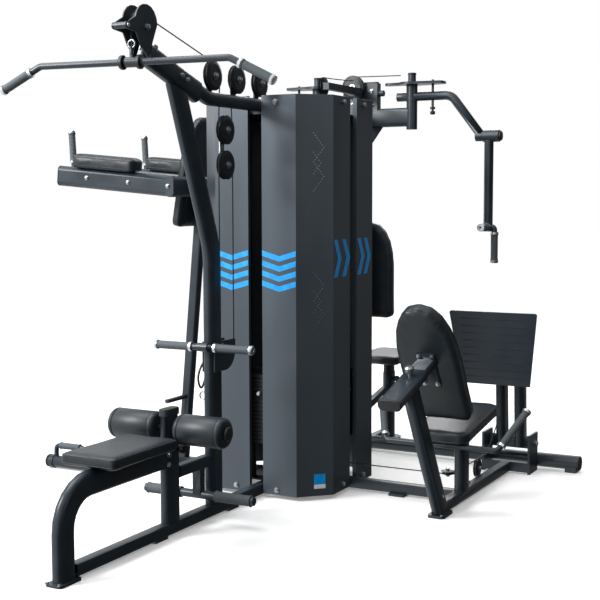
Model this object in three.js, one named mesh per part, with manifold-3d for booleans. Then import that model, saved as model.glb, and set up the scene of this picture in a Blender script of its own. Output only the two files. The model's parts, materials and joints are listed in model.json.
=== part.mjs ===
// Multi station home gym: a weight tower with a lat pulldown, a knee raise, a leg press and a pec fly station.
// Millimetres, +Z up. The origin is on the floor under the middle of the tower.
// The lat station lies along -Y, the fly station along +Y, the leg press on +X and the knee raise on -X.
import * as THREE from "three";
import { mergeVertices } from "three/addons/utils/BufferGeometryUtils.js";
import Module from "manifold-3d";

const wasm = await Module();
wasm.setup();

const GAP = 0.3; // clearance between parts that touch
const BEAM = 50; // square base tube
const BEAM_BOTTOM = 10;
const BEAM_TOP = BEAM_BOTTOM + BEAM;
const OVAL = { width: 50, depth: 104, corner: 24, wall: 3 }; // main flat oval tube
const TOWER = { half: 350, flat: 220, slot: 37, bottom: 20, top: 1920, sheet: 2.5, flange: 22 };
const TOP_PLATE_Z = 1836;
const BOOM = { z: 1877, rear: 817.5, bend: -760, tip: -1215, rise: 0.34, depth: 60 };
const FRONT_LEG_Y = -1794;
const SEAT_POST_Y = -1085;
const MAST = { y: -735, kink: 1215, topY: -1004, topZ: 1908 };
const LAT_SEAT = { half: 140, front: -1655, rear: -1200, top: 455, thick: 48 };
const ROLLER = { radius: 66, inner: 50, length: 236, z: 467 };
const LAT_BAR = { y: -1314, z: 1981, straight: 425, end: 612, drop: 93, radius: 14, turn: 7 };
const PULLEY = { radius: 66, groove: 54, width: 30, bore: 6.4, axle: 6 };
const HEAD = { y: -1256, z: 2124 };
const BOOM_PULLEY_Y = [-714, -508, -300];
const BOOM_PULLEY_Z = 1980;
const DROP = { y: -611, upper: 1747, lower: 1590 };
const CABLE_RADIUS = 3;
const WRAP = 4.6; // from a groove to the centre of the cable that lies in it
const ROW = { y: -812, z: 781, half: 255, strand: -669.6 };
const STACK = { offset: 238, width: 260, depth: 118, rods: 95, rod: 12, bottom: 250, plates: 17, pitch: 20 };
const LIFTED_PLATES = 5;
const FLY = { y: 870, pivotX: 290, armZ: 1990, reach: 735, clampZ: 1765, gripZ: 1281, back: 960, wheelX: -46 };
const FLY_SEAT = { y: 1235, front: 1000, rear: 1420, top: 520 };
const LEG = { x: 910, footY: -253, seatPostY: 23, railEnd: 722 };
const LEVER = { y: 782, z: 150 };
const DIP = { armY: 320, armEnd: -1186, armEndZ: 1558, crossX: -492, crossZ: 1497, floorX: -1020, postFoot: -655, postTop: -522 };
const REAR_CROSS = { y: 862, z: 48, radius: 38, end: 1252 };

const charcoal = { color: 0x22282d, roughness: 0.42, metalness: 0.3 };
const shroudGrey = { color: 0x596067, roughness: 0.36, metalness: 0.6 };
const vinyl = { color: 0x15181b, roughness: 0.5, metalness: 0 };
const plastic = { color: 0x24282c, roughness: 0.45, metalness: 0 };
const steel = { color: 0xb4b8bb, roughness: 0.25, metalness: 1 };
const castIron = { color: 0x1d2023, roughness: 0.6, metalness: 0.5 };
const cableBlack = { color: 0x0c0d0e, roughness: 0.4, metalness: 0 };

const group = new THREE.Group();

function addPart(name, geometry, finish) {
  const mesh = new THREE.Mesh(geometry, new THREE.MeshStandardMaterial(finish));
  mesh.name = name;
  group.add(mesh);
  return mesh;
}

const at = (x, y, z) => new THREE.Vector3(x, y, z);
const SIDE_X = at(1, 0, 0);
const SIDE_Y = at(0, 1, 0);
const SIDE_Z = at(0, 0, 1);

// ---- solids and booleans

function toSolid(geometry) {
  const bare = geometry.index ? geometry.toNonIndexed() : geometry.clone();
  bare.deleteAttribute("normal");
  bare.deleteAttribute("uv");
  const merged = mergeVertices(bare, 1e-3);
  return new wasm.Manifold(
    new wasm.Mesh({
      numProp: 3,
      vertProperties: merged.attributes.position.array,
      triVerts: new Uint32Array(merged.index.array),
    }),
  );
}

function toGeometry(solid) {
  const mesh = solid.getMesh();
  const geometry = new THREE.BufferGeometry();
  geometry.setAttribute("position", new THREE.BufferAttribute(mesh.vertProperties, 3));
  geometry.setIndex(new THREE.BufferAttribute(mesh.triVerts, 1));
  return geometry;
}

function join(...pieces) {
  let solid = toSolid(pieces[0]);
  for (const piece of pieces.slice(1)) {
    solid = solid.add(toSolid(piece));
  }
  return toGeometry(solid);
}

function cut(piece, ...tools) {
  let solid = toSolid(piece);
  for (const tool of tools) {
    solid = solid.subtract(toSolid(tool));
  }
  return toGeometry(solid);
}

// ---- basic shapes

function roundRect(width, height, corner) {
  const shape = new THREE.Shape();
  const x = width / 2 - corner;
  const y = height / 2 - corner;
  shape.absarc(x, y, corner, 0, Math.PI / 2);
  shape.absarc(-x, y, corner, Math.PI / 2, Math.PI);
  shape.absarc(-x, -y, corner, Math.PI, 1.5 * Math.PI);
  shape.absarc(x, -y, corner, 1.5 * Math.PI, 2 * Math.PI);
  return shape;
}

function ringShape(outer, inner) {
  const shape = new THREE.Shape().absarc(0, 0, outer, 0, 2 * Math.PI);
  if (inner) shape.holes.push(new THREE.Path().absarc(0, 0, inner, 0, 2 * Math.PI));
  return shape;
}

function tubeShape(width, height, corner, wall) {
  const shape = roundRect(width, height, corner);
  shape.holes.push(roundRect(width - 2 * wall, height - 2 * wall, corner - wall));
  return shape;
}

const ovalShape = () => tubeShape(OVAL.width, OVAL.depth, OVAL.corner, OVAL.wall);
const beamShape = () => tubeShape(BEAM, BEAM, 6, 3);

// A path of straight runs with round bends, whose section keeps one side vector all along.
class BentPath extends THREE.Curve {
  constructor(corners, radius, steps, side) {
    super();
    this.stations = [];
    this.side = side;
    const last = corners.length - 1;
    const direction = (i) => corners[i + 1].clone().sub(corners[i]).normalize();
    this.stations.push({ point: corners[0], tangent: direction(0) });
    for (let i = 1; i < last; i++) {
      this.addBend(corners[i], direction(i - 1), direction(i), radius, steps);
    }
    this.stations.push({ point: corners[last], tangent: direction(last - 1) });
  }

  addBend(corner, before, after, radius, steps) {
    const turn = before.angleTo(after);
    const axis = before.clone().cross(after).normalize();
    const start = corner.clone().addScaledVector(before, -radius * Math.tan(turn / 2));
    const inward = axis.clone().cross(before);
    const centre = start.clone().addScaledVector(inward, radius);
    for (let k = 0; k <= steps; k++) {
      const angle = (turn * k) / steps;
      const arm = inward.clone().multiplyScalar(-radius).applyAxisAngle(axis, angle);
      const tangent = before.clone().applyAxisAngle(axis, angle);
      this.stations.push({ point: centre.clone().add(arm), tangent });
    }
  }

  station(u) {
    return this.stations[Math.round(u * (this.stations.length - 1))];
  }

  getPointAt(u) {
    return this.station(u).point.clone();
  }

  getTangentAt(u) {
    return this.station(u).tangent.clone();
  }

  computeFrenetFrames() {
    const tangents = this.stations.map((s) => s.tangent.clone());
    const normals = tangents.map(() => this.side.clone());
    const binormals = tangents.map((t) => t.clone().cross(this.side).normalize());
    return { tangents, normals, binormals };
  }
}

function sweep(shape, corners, side, radius = 60, steps = 6, curveSegments = 2) {
  const extrudePath = new BentPath(corners, radius, steps, side);
  const rings = extrudePath.stations.length - 1;
  return new THREE.ExtrudeGeometry(shape, { steps: rings, curveSegments, extrudePath });
}

// A round bar or tube: bends need no side of their own, only one that is square to the path's plane.
function rod(radius, corners, side, bore = 0, bend = 40, segments = 6) {
  return sweep(ringShape(radius, bore), corners, side, bend, 6, segments);
}

function box(x0, x1, y0, y1, z0, z1) {
  const geometry = new THREE.BoxGeometry(x1 - x0, y1 - y0, z1 - z0);
  return geometry.translate((x0 + x1) / 2, (y0 + y1) / 2, (z0 + z1) / 2);
}

// A flat plate whose outline is drawn in Y (across) and Z (up), standing between x0 and x1.
function plateYZ(shape, x0, x1, curveSegments = 4) {
  const geometry = new THREE.ExtrudeGeometry(shape, { depth: x1 - x0, bevelEnabled: false, curveSegments });
  const turn = new THREE.Matrix4().makeBasis(SIDE_Y, SIDE_Z, SIDE_X);
  return geometry.applyMatrix4(turn).translate(x0, 0, 0);
}

function plateXY(shape, z0, z1, curveSegments = 4) {
  const geometry = new THREE.ExtrudeGeometry(shape, { depth: z1 - z0, bevelEnabled: false, curveSegments });
  return geometry.translate(0, 0, z0);
}

function polygon(points) {
  return new THREE.Shape(points.map(([x, y]) => new THREE.Vector2(x, y)));
}

// A padded block with rounded plan corners and a chamfered top edge, lying flat with its top at z = 0.
function padBlock(outline, thick, edge, curveSegments = 3) {
  const options = { depth: thick - 2 * edge, bevelThickness: edge, bevelSize: edge, bevelOffset: -edge };
  const geometry = new THREE.ExtrudeGeometry(outline, {
    ...options,
    bevelSegments: 2,
    curveSegments,
  });
  return geometry.translate(0, 0, edge - thick);
}

// ---- tower

// A bent sheet corner: half a face, a chamfer and half of the next face, with a flange into each slot.
function panelOutline() {
  const { half, flat, slot, sheet, flange } = TOWER;
  const fold = sheet * Math.tan(Math.PI / 8);
  return polygon([
    [slot, -half],
    [flat, -half],
    [half, -flat],
    [half, -slot],
    [half - flange, -slot],
    [half - flange, -slot - sheet],
    [half - sheet, -slot - sheet],
    [half - sheet, -flat + fold],
    [flat - fold, -half + sheet],
    [slot + sheet, -half + sheet],
    [slot + sheet, -half + flange],
    [slot, -half + flange],
  ]);
}

function addTowerPanels() {
  ["front_right", "rear_right", "rear_left", "front_left"].forEach((corner, quarter) => {
    const sheet = plateXY(panelOutline(), TOWER.bottom, TOWER.top);
    addPart(`panel_${corner}`, sheet, shroudGrey).rotation.z = (quarter * Math.PI) / 2;
  });
}

function addTopPlate() {
  const { half, flat, sheet, slot, flange } = TOWER;
  const inner = half - sheet - 1.5;
  const fold = flat - 1.5;
  const notch = slot + 3;
  const deep = half - flange - 3;
  const quarter = [
    [notch, -deep],
    [notch, -inner],
    [fold, -inner],
    [inner, -fold],
    [inner, -notch],
    [deep, -notch],
  ];
  const turned = (points, times) =>
    points.map(([x, y]) => [[x, y], [-y, x], [-x, -y], [y, -x]][times]);
  const outline = polygon([0, 1, 2, 3].flatMap((times) => turned(quarter, times)));
  const holes = [
    [0, -246, 16],
    [238, 0, 16],
    [0, 238, 16],
    [150, 0, 16],
    [0, 150, 16],
  ];
  for (const [x, y, radius] of holes) {
    outline.holes.push(new THREE.Path().absarc(x, y, radius, 0, 2 * Math.PI));
  }
  addPart("top_plate", plateXY(outline, TOP_PLATE_Z, TOP_PLATE_Z + 6), charcoal);
}

// ---- weight stacks, drawn for the front station and turned about Z for the others

const stackTop = STACK.bottom + STACK.plates * STACK.pitch;
const liftBottom = stackTop - LIFTED_PLATES * STACK.pitch;

function plateStack(count, bottom) {
  const { width, depth, pitch, offset } = STACK;
  const plates = [];
  for (let i = 0; i < count; i++) {
    const z = bottom + i * pitch;
    const y = -offset;
    plates.push(box(-width / 2, width / 2, y - depth / 2, y + depth / 2, z, z + pitch - 2.5));
    if (i < count - 1) {
      plates.push(box(-width / 2 + 6, width / 2 - 6, y - depth / 2 + 6, y + depth / 2 - 6, z + 10, z + pitch + 5));
    }
  }
  return join(...plates);
}

const upright = (radius, x, y, z0, z1, bore = 0) => rod(radius, [at(x, y, z0), at(x, y, z1)], SIDE_X, bore);

function guideAndRestingPlates() {
  const { rods, rod: radius, offset, plates, bottom } = STACK;
  const resting = plateStack(plates - LIFTED_PLATES, bottom);
  const posts = [-rods, rods].map((x) => upright(radius, x, -offset, BEAM_TOP + GAP, TOP_PLATE_Z - GAP));
  const bumpers = [-rods, rods].map((x) => upright(26, x, -offset, BEAM_TOP + GAP, bottom + 2));
  const foot = box(-rods - 30, rods + 30, -offset - 30, -offset + 30, BEAM_TOP + GAP, BEAM_TOP + 8);
  const stemHole = upright(11, 0, -offset, bottom - 5, liftBottom + 5);
  return cut(join(resting, foot, ...posts, ...bumpers), stemHole);
}

function liftedPlates() {
  const { rods, rod: radius, offset, pitch } = STACK;
  const block = plateStack(LIFTED_PLATES, liftBottom);
  const bores = [-rods, rods].map((x) => upright(radius + 1.5, x, -offset, liftBottom - 5, stackTop + 60));
  const head = box(-125, 125, -offset - 20, -offset + 20, stackTop - 5, stackTop + 22);
  const bolt = upright(10, 0, -offset, stackTop, stackTop + 80);
  const pinBore = rod(5.5, [at(0, -400, 0), at(0, -offset + 30, 0)], SIDE_X).translate(0, 0, liftBottom + pitch / 2 - 1);
  return cut(join(block, head, bolt), ...bores, pinBore);
}

function addStacks() {
  const stations = { front: 0, right: Math.PI / 2, rear: Math.PI };
  for (const [name, turn] of Object.entries(stations)) {
    addPart(`${name}_guides`, guideAndRestingPlates(), castIron).rotation.z = turn;
    addPart(`${name}_stack`, liftedPlates(), castIron).rotation.z = turn;
  }
}

// ---- floor frame

function footPad(x, y, width, depth, top) {
  return box(x - width / 2, x + width / 2, y - depth / 2, y + depth / 2, 0, top);
}

// A low bar beside the floor stub, bent down into it at both ends.
function pushUpHandle(y) {
  const corners = [at(-1062, y, 50), at(-1062, y, 124), at(-1256, y, 124), at(-1256, y, 50)];
  return rod(13, corners, SIDE_Y, 0, 24);
}

function addBaseFrame() {
  const z = BEAM_BOTTOM + BEAM / 2;
  const spine = sweep(beamShape(), [at(0, -1741, z), at(0, 1182, z)], SIDE_X, 1, 1, 1);
  const pads = [-1181, -600, 0, 640].map((y) => footPad(0, y, 46, 90, BEAM_BOTTOM + 2));
  addPart("base_spine", join(spine, ...pads), charcoal);

  const left = sweep(beamShape(), [at(-25.5, 0, z), at(DIP.floorX + 24, 0, z)], SIDE_Y, 1, 1, 1);
  const stubs = [-DIP.armY, DIP.armY].map((y) => rod(32, [at(DIP.floorX + 20, y, 36), at(-1302, y, 36)], SIDE_Y));
  const cross = box(DIP.floorX - 25, DIP.floorX + 25, -DIP.armY - 32, DIP.armY + 32, BEAM_BOTTOM, BEAM_TOP);
  const tips = [-DIP.armY, DIP.armY].map((y) => rod(36, [at(-1290, y, 36), at(-1262, y, 36)], SIDE_Y));
  const leftPad = footPad(-655, 0, 80, 90, BEAM_BOTTOM + 2);
  const grips = [-DIP.armY, DIP.armY].map((y) => pushUpHandle(y));
  addPart("base_left", join(left, leftPad, cross, ...stubs, ...tips, ...grips), charcoal);

  const right = sweep(beamShape(), [at(25.5, 0, z), at(LEG.x - 25.5, 0, z)], SIDE_Y, 1, 1, 1);
  addPart("base_right", join(right, footPad(600, 0, 80, 90, BEAM_BOTTOM + 2)), charcoal);

  const { y, z: tubeZ, radius, end } = REAR_CROSS;
  const tube = rod(radius, [at(25.5, y, tubeZ), at(end, y, tubeZ)], SIDE_Y, radius - 3, 1, 8);
  const stand = cut(footPad(1215, y, 60, 70, 30), rod(radius - 1, [at(0, y, tubeZ), at(end, y, tubeZ)], SIDE_Y));
  addPart("rear_cross_tube", join(tube, stand), charcoal);
}

// ---- lat station

function addFrontLeg() {
  const top = 350;
  const corners = [at(0, FRONT_LEG_Y, 8), at(0, FRONT_LEG_Y, top), at(0, SEAT_POST_Y - 52.6, top)];
  const leg = sweep(ovalShape(), corners, SIDE_X, 160, 6);
  const foot = plateXY(roundRect(82, 134, 20), 0, 9.5).translate(0, FRONT_LEG_Y, 0);
  addPart("front_leg", join(leg, foot), charcoal);
}

function addSeatPost() {
  const post = sweep(ovalShape(), [at(0, SEAT_POST_Y, BEAM_TOP + GAP), at(0, SEAT_POST_Y, 404)], SIDE_X);
  const tie = sweep(tubeShape(44, 52, 8, 3), [at(0, SEAT_POST_Y + 50, 268), at(0, MAST.y - 52.6, 268)], SIDE_X, 1, 1);
  const hanger = box(-20, 20, -880, -840, 128, 250);
  const bar = rod(19, [at(-285, -860, 128), at(285, -860, 128)], SIDE_Y, 0, 1, 10);
  addPart("seat_post", join(post, tie, hanger, bar), charcoal);
}

function latSeatOutline() {
  const { half, front, rear } = LAT_SEAT;
  const shape = roundRect(2 * half, rear - front, 26);
  return shape;
}

function addLatSeat() {
  const { top, thick, front, rear } = LAT_SEAT;
  const pad = padBlock(latSeatOutline(), thick, 8).translate(0, (front + rear) / 2, top);
  addPart("lat_seat_pad", pad, vinyl);
}

function addThighRollers() {
  const stem = sweep(tubeShape(41, 95, 16, 3), [at(0, SEAT_POST_Y, 180), at(0, SEAT_POST_Y, 538)], SIDE_X);
  const cap = plateXY(roundRect(52, 104, 20), 524, 546).translate(0, SEAT_POST_Y, 0);
  const reach = ROLLER.inner + ROLLER.length + 8;
  const axle = rod(12.5, [at(-reach, SEAT_POST_Y, ROLLER.z), at(reach, SEAT_POST_Y, ROLLER.z)], SIDE_Y);
  addPart("thigh_frame", join(stem, cap, axle), charcoal);
  for (const [name, sign] of [["right", 1], ["left", -1]]) {
    const x0 = sign * ROLLER.inner;
    const x1 = sign * (ROLLER.inner + ROLLER.length);
    const ends = [at(x0, SEAT_POST_Y, ROLLER.z), at(x1, SEAT_POST_Y, ROLLER.z)];
    addPart(`thigh_roller_${name}`, rod(ROLLER.radius, ends, SIDE_Y, 13.5, 1, 10), vinyl);
  }
}

function addMast() {
  const { y, kink, topY, topZ } = MAST;
  const lean = (topY - y) / (topZ - kink);
  const corners = [at(0, y, BEAM_TOP + GAP), at(0, y, kink), at(0, topY + lean * 30, topZ + 30)];
  const tube = sweep(ovalShape(), corners, SIDE_X, 420, 8);
  const trimmed = cut(tube, sweep(roundRect(120, 97, 5), boomNose(-700, 40), SIDE_X, 1, 1));
  const guard = new THREE.Shape();
  guard.moveTo(-770, 800);
  guard.lineTo(-592, 800);
  guard.absarc(-680, 752, 88, 0, -Math.PI / 2, true);
  guard.lineTo(-770, 664);
  const guards = [plateYZ(guard, -33, -25), plateYZ(guard, 25, 33)];
  const axle = rod(8, [at(-30, -640, 752), at(30, -640, 752)], SIDE_Y);
  const throat = box(-8, 8, y - 60, y + 60, ROW.z - 9, ROW.z + 16);
  addPart("mast", cut(join(trimmed, ...guards, axle), throat), charcoal);
}

// The deep part of the boom ahead of the mast, from one Y towards the tip and past it.
function boomNose(fromY, past) {
  const rise = (y) => BOOM.z - 10 - BOOM.rise * (y - BOOM.bend);
  const toY = BOOM.tip - 4 - past;
  return [at(0, fromY, rise(fromY)), at(0, toY, rise(toY))];
}

// The boom ties the fly post, the tower and the mast, and rises to the lat pulley head.
function addBoom() {
  const tip = at(0, BOOM.tip, BOOM.z - BOOM.rise * (BOOM.tip - BOOM.bend));
  const corners = [at(0, BOOM.rear, BOOM.z), at(0, BOOM.bend, BOOM.z), tip];
  const tube = sweep(tubeShape(BEAM, BOOM.depth, 20, 3), corners, SIDE_X, 160, 4);
  const nose = sweep(roundRect(54, 96, 22), boomNose(-850, 0), SIDE_X, 1, 1);
  const ears = BOOM_PULLEY_Y.map((y) => box(-24, -18, y - 20, y + 20, BOOM.z + 20, BOOM_PULLEY_Z + 20));
  const axles = BOOM_PULLEY_Y.map((y) =>
    rod(PULLEY.axle, [at(-22, y, BOOM_PULLEY_Z), at(20, y, BOOM_PULLEY_Z)], SIDE_Y),
  );
  const slots = [-662, -560, -241].map((y) => box(-8, 8, y - 14, y + 14, BOOM.z - 60, BOOM.z + 60));
  addPart("boom", cut(join(tube, nose, ...ears, ...axles), ...slots), charcoal);
}

function headPlate() {
  const { y, z } = HEAD;
  const shape = new THREE.Shape();
  shape.moveTo(y + 58, z - 126);
  shape.absarc(y - 2, z + 14, 76, 0.05, Math.PI * 0.92);
  shape.lineTo(y - 126, z + 6);
  shape.absarc(y - 130, z - 8, 14, Math.PI / 2, 1.5 * Math.PI);
  shape.lineTo(y - 72, z - 28);
  shape.lineTo(y - 44, z - 74);
  shape.lineTo(y + 8, z - 122);
  return shape;
}

function addPulleyHead() {
  const plates = [plateYZ(headPlate(), -34, -28), plateYZ(headPlate(), 28, 34)];
  const { y, z } = HEAD;
  const axle = rod(PULLEY.axle, [at(-30, y, z), at(30, y, z)], SIDE_Y);
  const nose = rod(13, [at(-30, y - 130, z - 8), at(30, y - 130, z - 8)], SIDE_Y);
  addPart("lat_head", join(...plates, axle, nose), charcoal);
}

// A grooved pulley wheel about the X axis.
function pulleyWheel({ radius, groove, width, bore }) {
  const half = width / 2;
  const profile = [
    [bore, -half],
    [radius - 16, -half],
    [radius, -half + 6],
    [groove, -3],
    [groove, 3],
    [radius, half - 6],
    [radius - 16, half],
    [bore, half],
    [bore, -half],
  ].map(([r, h]) => new THREE.Vector2(r, h));
  return new THREE.LatheGeometry(profile, 18).rotateZ(Math.PI / 2);
}

function addLatPulleys() {
  addPart("head_pulley", pulleyWheel(PULLEY).translate(0, HEAD.y, HEAD.z), plastic);
  BOOM_PULLEY_Y.forEach((y, i) => {
    addPart(`boom_pulley_${i + 1}`, pulleyWheel(PULLEY).translate(0, y, BOOM_PULLEY_Z), plastic);
  });
  addPart("drop_pulley_upper", pulleyWheel(PULLEY).translate(0, DROP.y, DROP.upper), plastic);
  addPart("drop_pulley_lower", pulleyWheel(PULLEY).translate(0, DROP.y, DROP.lower), plastic);
}

// The floating block that couples the lat cable to the row cable.
function addDropBlock() {
  const strap = box(-24, -18, DROP.y - 18, DROP.y + 18, DROP.lower - 22, DROP.upper + 22);
  const axles = [DROP.upper, DROP.lower].map((z) =>
    rod(PULLEY.axle, [at(-22, DROP.y, z), at(20, DROP.y, z)], SIDE_Y),
  );
  addPart("drop_block", join(strap, ...axles), steel);
}

function addLatBar() {
  const { straight, end, drop, radius, z, y, turn } = LAT_BAR;
  const corners = [at(-end, 0, -drop), at(-straight, 0, 0), at(straight, 0, 0), at(end, 0, -drop)];
  const bar = rod(radius, corners, SIDE_Y, 0, 45, 10);
  const clamp = rod(21, [at(-24, 0, 0), at(24, 0, 0)], SIDE_Y);
  const stem = upright(9, 0, 0, 10, 58);
  const swivel = join(bar, clamp, stem).rotateZ((turn * Math.PI) / 180);
  addPart("lat_bar", swivel.translate(0, y, z), charcoal);
}

function addRowBar() {
  const { y, z, half } = ROW;
  const bar = rod(14, [at(-half, y, z), at(half, y, z)], SIDE_Y, 0, 1, 10);
  const clamp = rod(20, [at(-26, y, z), at(26, y, z)], SIDE_Y);
  addPart("row_bar", join(bar, clamp), charcoal);
}

// The point at the given angle round a wheel's groove, in the YZ plane.
function onGroove(y, z, degrees) {
  const reach = PULLEY.groove + WRAP;
  const angle = (degrees * Math.PI) / 180;
  return at(0, y + reach * Math.cos(angle), z + reach * Math.sin(angle));
}

function arcPoints(y, z, from, to, count) {
  const points = [];
  for (let i = 0; i <= count; i++) {
    points.push(onGroove(y, z, from + ((to - from) * i) / count));
  }
  return points;
}

function cable(points, side = SIDE_X) {
  const stations = points.map((point, i) => {
    const before = points[Math.max(i - 1, 0)];
    const after = points[Math.min(i + 1, points.length - 1)];
    return { point, tangent: after.clone().sub(before).normalize() };
  });
  const path = new BentPath([points[0], points[1]], 1, 1, side);
  path.stations = stations;
  return new THREE.ExtrudeGeometry(ringShape(CABLE_RADIUS), {
    steps: stations.length - 1,
    curveSegments: 4,
    extrudePath: path,
  });
}

// From the head over the boom, down and round the floating block, and back over the boom.
function addLatCable() {
  const [first, second, third] = BOOM_PULLEY_Y;
  const wheelZ = BOOM_PULLEY_Z;
  const points = [
    ...arcPoints(HEAD.y, HEAD.z, 180, 75, 6),
    ...arcPoints(first, wheelZ, 75, 0, 5),
    ...arcPoints(DROP.y, DROP.upper, 180, 360, 8),
    ...arcPoints(second, wheelZ, 180, 90, 5),
    ...arcPoints(third, wheelZ, 90, 0, 5),
  ];
  addPart("lat_cable", cable(points), cableBlack);
  addDrop("lat_bar_cable", 0, HEAD.y - PULLEY.groove - WRAP, LAT_BAR.z + 58 + GAP, HEAD.z - 3);
  addDrop("front_stack_cable", 0, third + PULLEY.groove + WRAP, stackTop + 80 + GAP, wheelZ - 3);
}

// ---- fly station

function addFlyFrame() {
  const { y, pivotX, armZ } = FLY;
  const post = sweep(ovalShape(), [at(0, y, BEAM_TOP + GAP), at(0, y, 1880)], SIDE_X);
  const beam = sweep(roundRect(104, BEAM, 22), [at(-pivotX, y, 1881), at(pivotX, y, 1881)], SIDE_Z);
  const crosshead = box(-92, 92, y - 24, y + 24, 1915, 2072);
  const stops = [-1, 1].map((s) => rod(17, [at(s * 90, y, 2016), at(s * 122, y, 2016)], SIDE_Y));
  const shafts = [-pivotX, pivotX].map((x) => upright(22, x, y, 1812, 2112));
  const sleeves = [-pivotX, pivotX].map((x) => upright(30, x, y, 1812, armZ - 28.3));
  const bar = join(
    box(-18, 18, 395, 806, 2006, 2042),
    box(-18, 18, 770, 806, 1925, 2042),
    box(-18, 18, 770, y, 1925, 1960),
  );
  const gusset = (s) => {
    const web = polygon([
      [s * 20, 1700],
      [s * 20, 1835],
      [s * 120, 1835],
    ]);
    const flat = new THREE.ExtrudeGeometry(web, { depth: 8, bevelEnabled: false });
    return flat.rotateX(Math.PI / 2).translate(0, y + 4, 0);
  };
  const wheelAxle = rod(8, [at(FLY.wheelX, y - 62, 2052), at(FLY.wheelX, y, 2052)], SIDE_X);
  const stay = sweep(tubeShape(40, 40, 6, 3), [at(0, y + 48, 240), at(0, FLY_SEAT.y - 59, 300)], SIDE_X, 1, 1, 1);
  const padArm = box(-24, 24, y + 30, FLY.back - 30.4, 960, 1160);
  const parts = [beam, crosshead, ...stops, ...shafts, ...sleeves, bar, gusset(1), gusset(-1), wheelAxle, stay, padArm];
  addPart("fly_frame", join(post, ...parts), charcoal);
}

function camPlate(sign) {
  const shape = new THREE.Shape();
  shape.absarc(0, 0, 188, -0.2, 0.2);
  shape.lineTo(60, 60);
  shape.absarc(0, 0, 70, Math.PI / 3, Math.PI * 0.86);
  shape.absarc(-130, 0, 28, Math.PI * 0.5, Math.PI * 1.5);
  shape.absarc(0, 0, 70, Math.PI * 1.14, Math.PI * 1.66);
  shape.lineTo(60, -60);
  shape.holes.push(new THREE.Path().absarc(0, 0, 23, 0, 2 * Math.PI));
  const plate = plateXY(shape, 2054, 2068, 5);
  return sign > 0 ? plate : plate.rotateZ(Math.PI);
}

function addFlyArms() {
  const { y, pivotX, armZ, reach, clampZ } = FLY;
  for (const [name, s] of [["right", 1], ["left", -1]]) {
    const bore = upright(23, s * pivotX, y, 1900, 2200);
    const pinX = s * (pivotX + 122);
    const camHub = upright(31, s * pivotX, y, armZ + 26.5, 2055);
    const cam = camPlate(s).translate(s * pivotX, y, 0);
    const corners = [at(s * (pivotX - 84), y, armZ), at(s * 520, y, armZ), at(s * (reach - 50), y, clampZ + 12)];
    const tube = rod(24, corners, SIDE_Y, 0, 70, 8);
    const hub = upright(31, s * pivotX, y, armZ - 27.5, armZ + 30);
    const pin = upright(7, pinX, y, 1926, 2078);
    const knob = upright(14, pinX, y, 1918, 1930);
    const knuckle = rod(27, [at(s * (reach - 72), y, clampZ), at(s * (reach - 30.5), y, clampZ)], SIDE_Y);
    const spindle = rod(13, [at(s * (reach - 72), y, clampZ), at(s * (reach + 62), y, clampZ)], SIDE_Y);
    addPart(`fly_arm_${name}`, cut(join(tube, hub, camHub, cam, pin, knob, knuckle, spindle), bore), charcoal);
    addForearm(name, s);
  }
}

function addForearm(name, s) {
  const { y, reach, clampZ, gripZ } = FLY;
  const sleeve = rod(32, [at(s * (reach - 30), y, clampZ), at(s * (reach + 58), y, clampZ)], SIDE_Y, 0, 1, 8);
  const bore = rod(14, [at(s * (reach - 90), y, clampZ), at(s * (reach + 90), y, clampZ)], SIDE_Y);
  const tube = upright(25, s * reach, y, gripZ - 24, clampZ);
  const stub = rod(15, [at(s * reach, y, gripZ), at(s * reach, y - 120, gripZ)], SIDE_X);
  const corners = [at(s * reach, y, gripZ), at(s * (reach + 36), y, gripZ), at(s * (reach + 36), y, 1090)];
  const drop = rod(15, corners, SIDE_Y, 0, 16);
  addPart(`fly_forearm_${name}`, cut(join(tube, sleeve, stub, drop), bore), charcoal);
}

function addFlySeat() {
  const { y, front, rear, top } = FLY_SEAT;
  const tube = sweep(ovalShape(), [at(0, y, 4), at(0, y, 400)], SIDE_X);
  const disc = upright(72, 0, y, 0, 9.5);
  addPart("fly_seat_base", join(tube, disc), charcoal);
  const stem = sweep(tubeShape(41, 95, 16, 3), [at(0, y, 150), at(0, y, 462)], SIDE_X);
  const plate = box(-60, 60, y - 120, y + 120, 458, 471);
  addPart("fly_seat_stem", join(stem, plate), charcoal);
  const seat = padBlock(roundRect(300, rear - front, 40), 48, 8);
  addPart("fly_seat_pad", seat.translate(0, (front + rear) / 2, top), vinyl);
}

// A back pad drawn upright: straight lower sides, then sides that draw in to a round top.
function backOutline(width, topWidth, height, shoulder) {
  const low = width / 2;
  const high = topWidth / 2;
  const shape = new THREE.Shape();
  shape.absarc(low - 36, 36, 36, -Math.PI / 2, 0);
  shape.lineTo(low, shoulder);
  shape.bezierCurveTo(low, shoulder + (height - shoulder) * 0.5, high + 18, height, 0, height);
  shape.bezierCurveTo(-high - 18, height, -low, shoulder + (height - shoulder) * 0.5, -low, shoulder);
  shape.absarc(-low + 36, 36, 36, Math.PI, 1.5 * Math.PI);
  return shape;
}

// Stands the pad up on its lower edge, facing -Y, leaning back by the tilt, then turns it about Z.
function standingPad(outline, thick, tilt, turn) {
  const pad = padBlock(outline, thick, 9, 5);
  return pad.rotateX(Math.PI / 2).rotateX(-tilt).rotateZ(turn);
}

function addFlyBackPad() {
  const pad = standingPad(backOutline(300, 170, 560, 300), 58, 0, Math.PI);
  addPart("fly_back_pad", pad.translate(0, FLY.back + 28, 748), vinyl);
}

function addFlyPulley() {
  const wheel = pulleyWheel({ ...PULLEY, bore: 8.6 }).rotateZ(Math.PI / 2);
  addPart("fly_pulley", wheel.translate(FLY.wheelX, FLY.y - 43, 2052), plastic);
}

// ---- leg press station

const legPoint = (y, z) => at(LEG.x, y, z);

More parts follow.
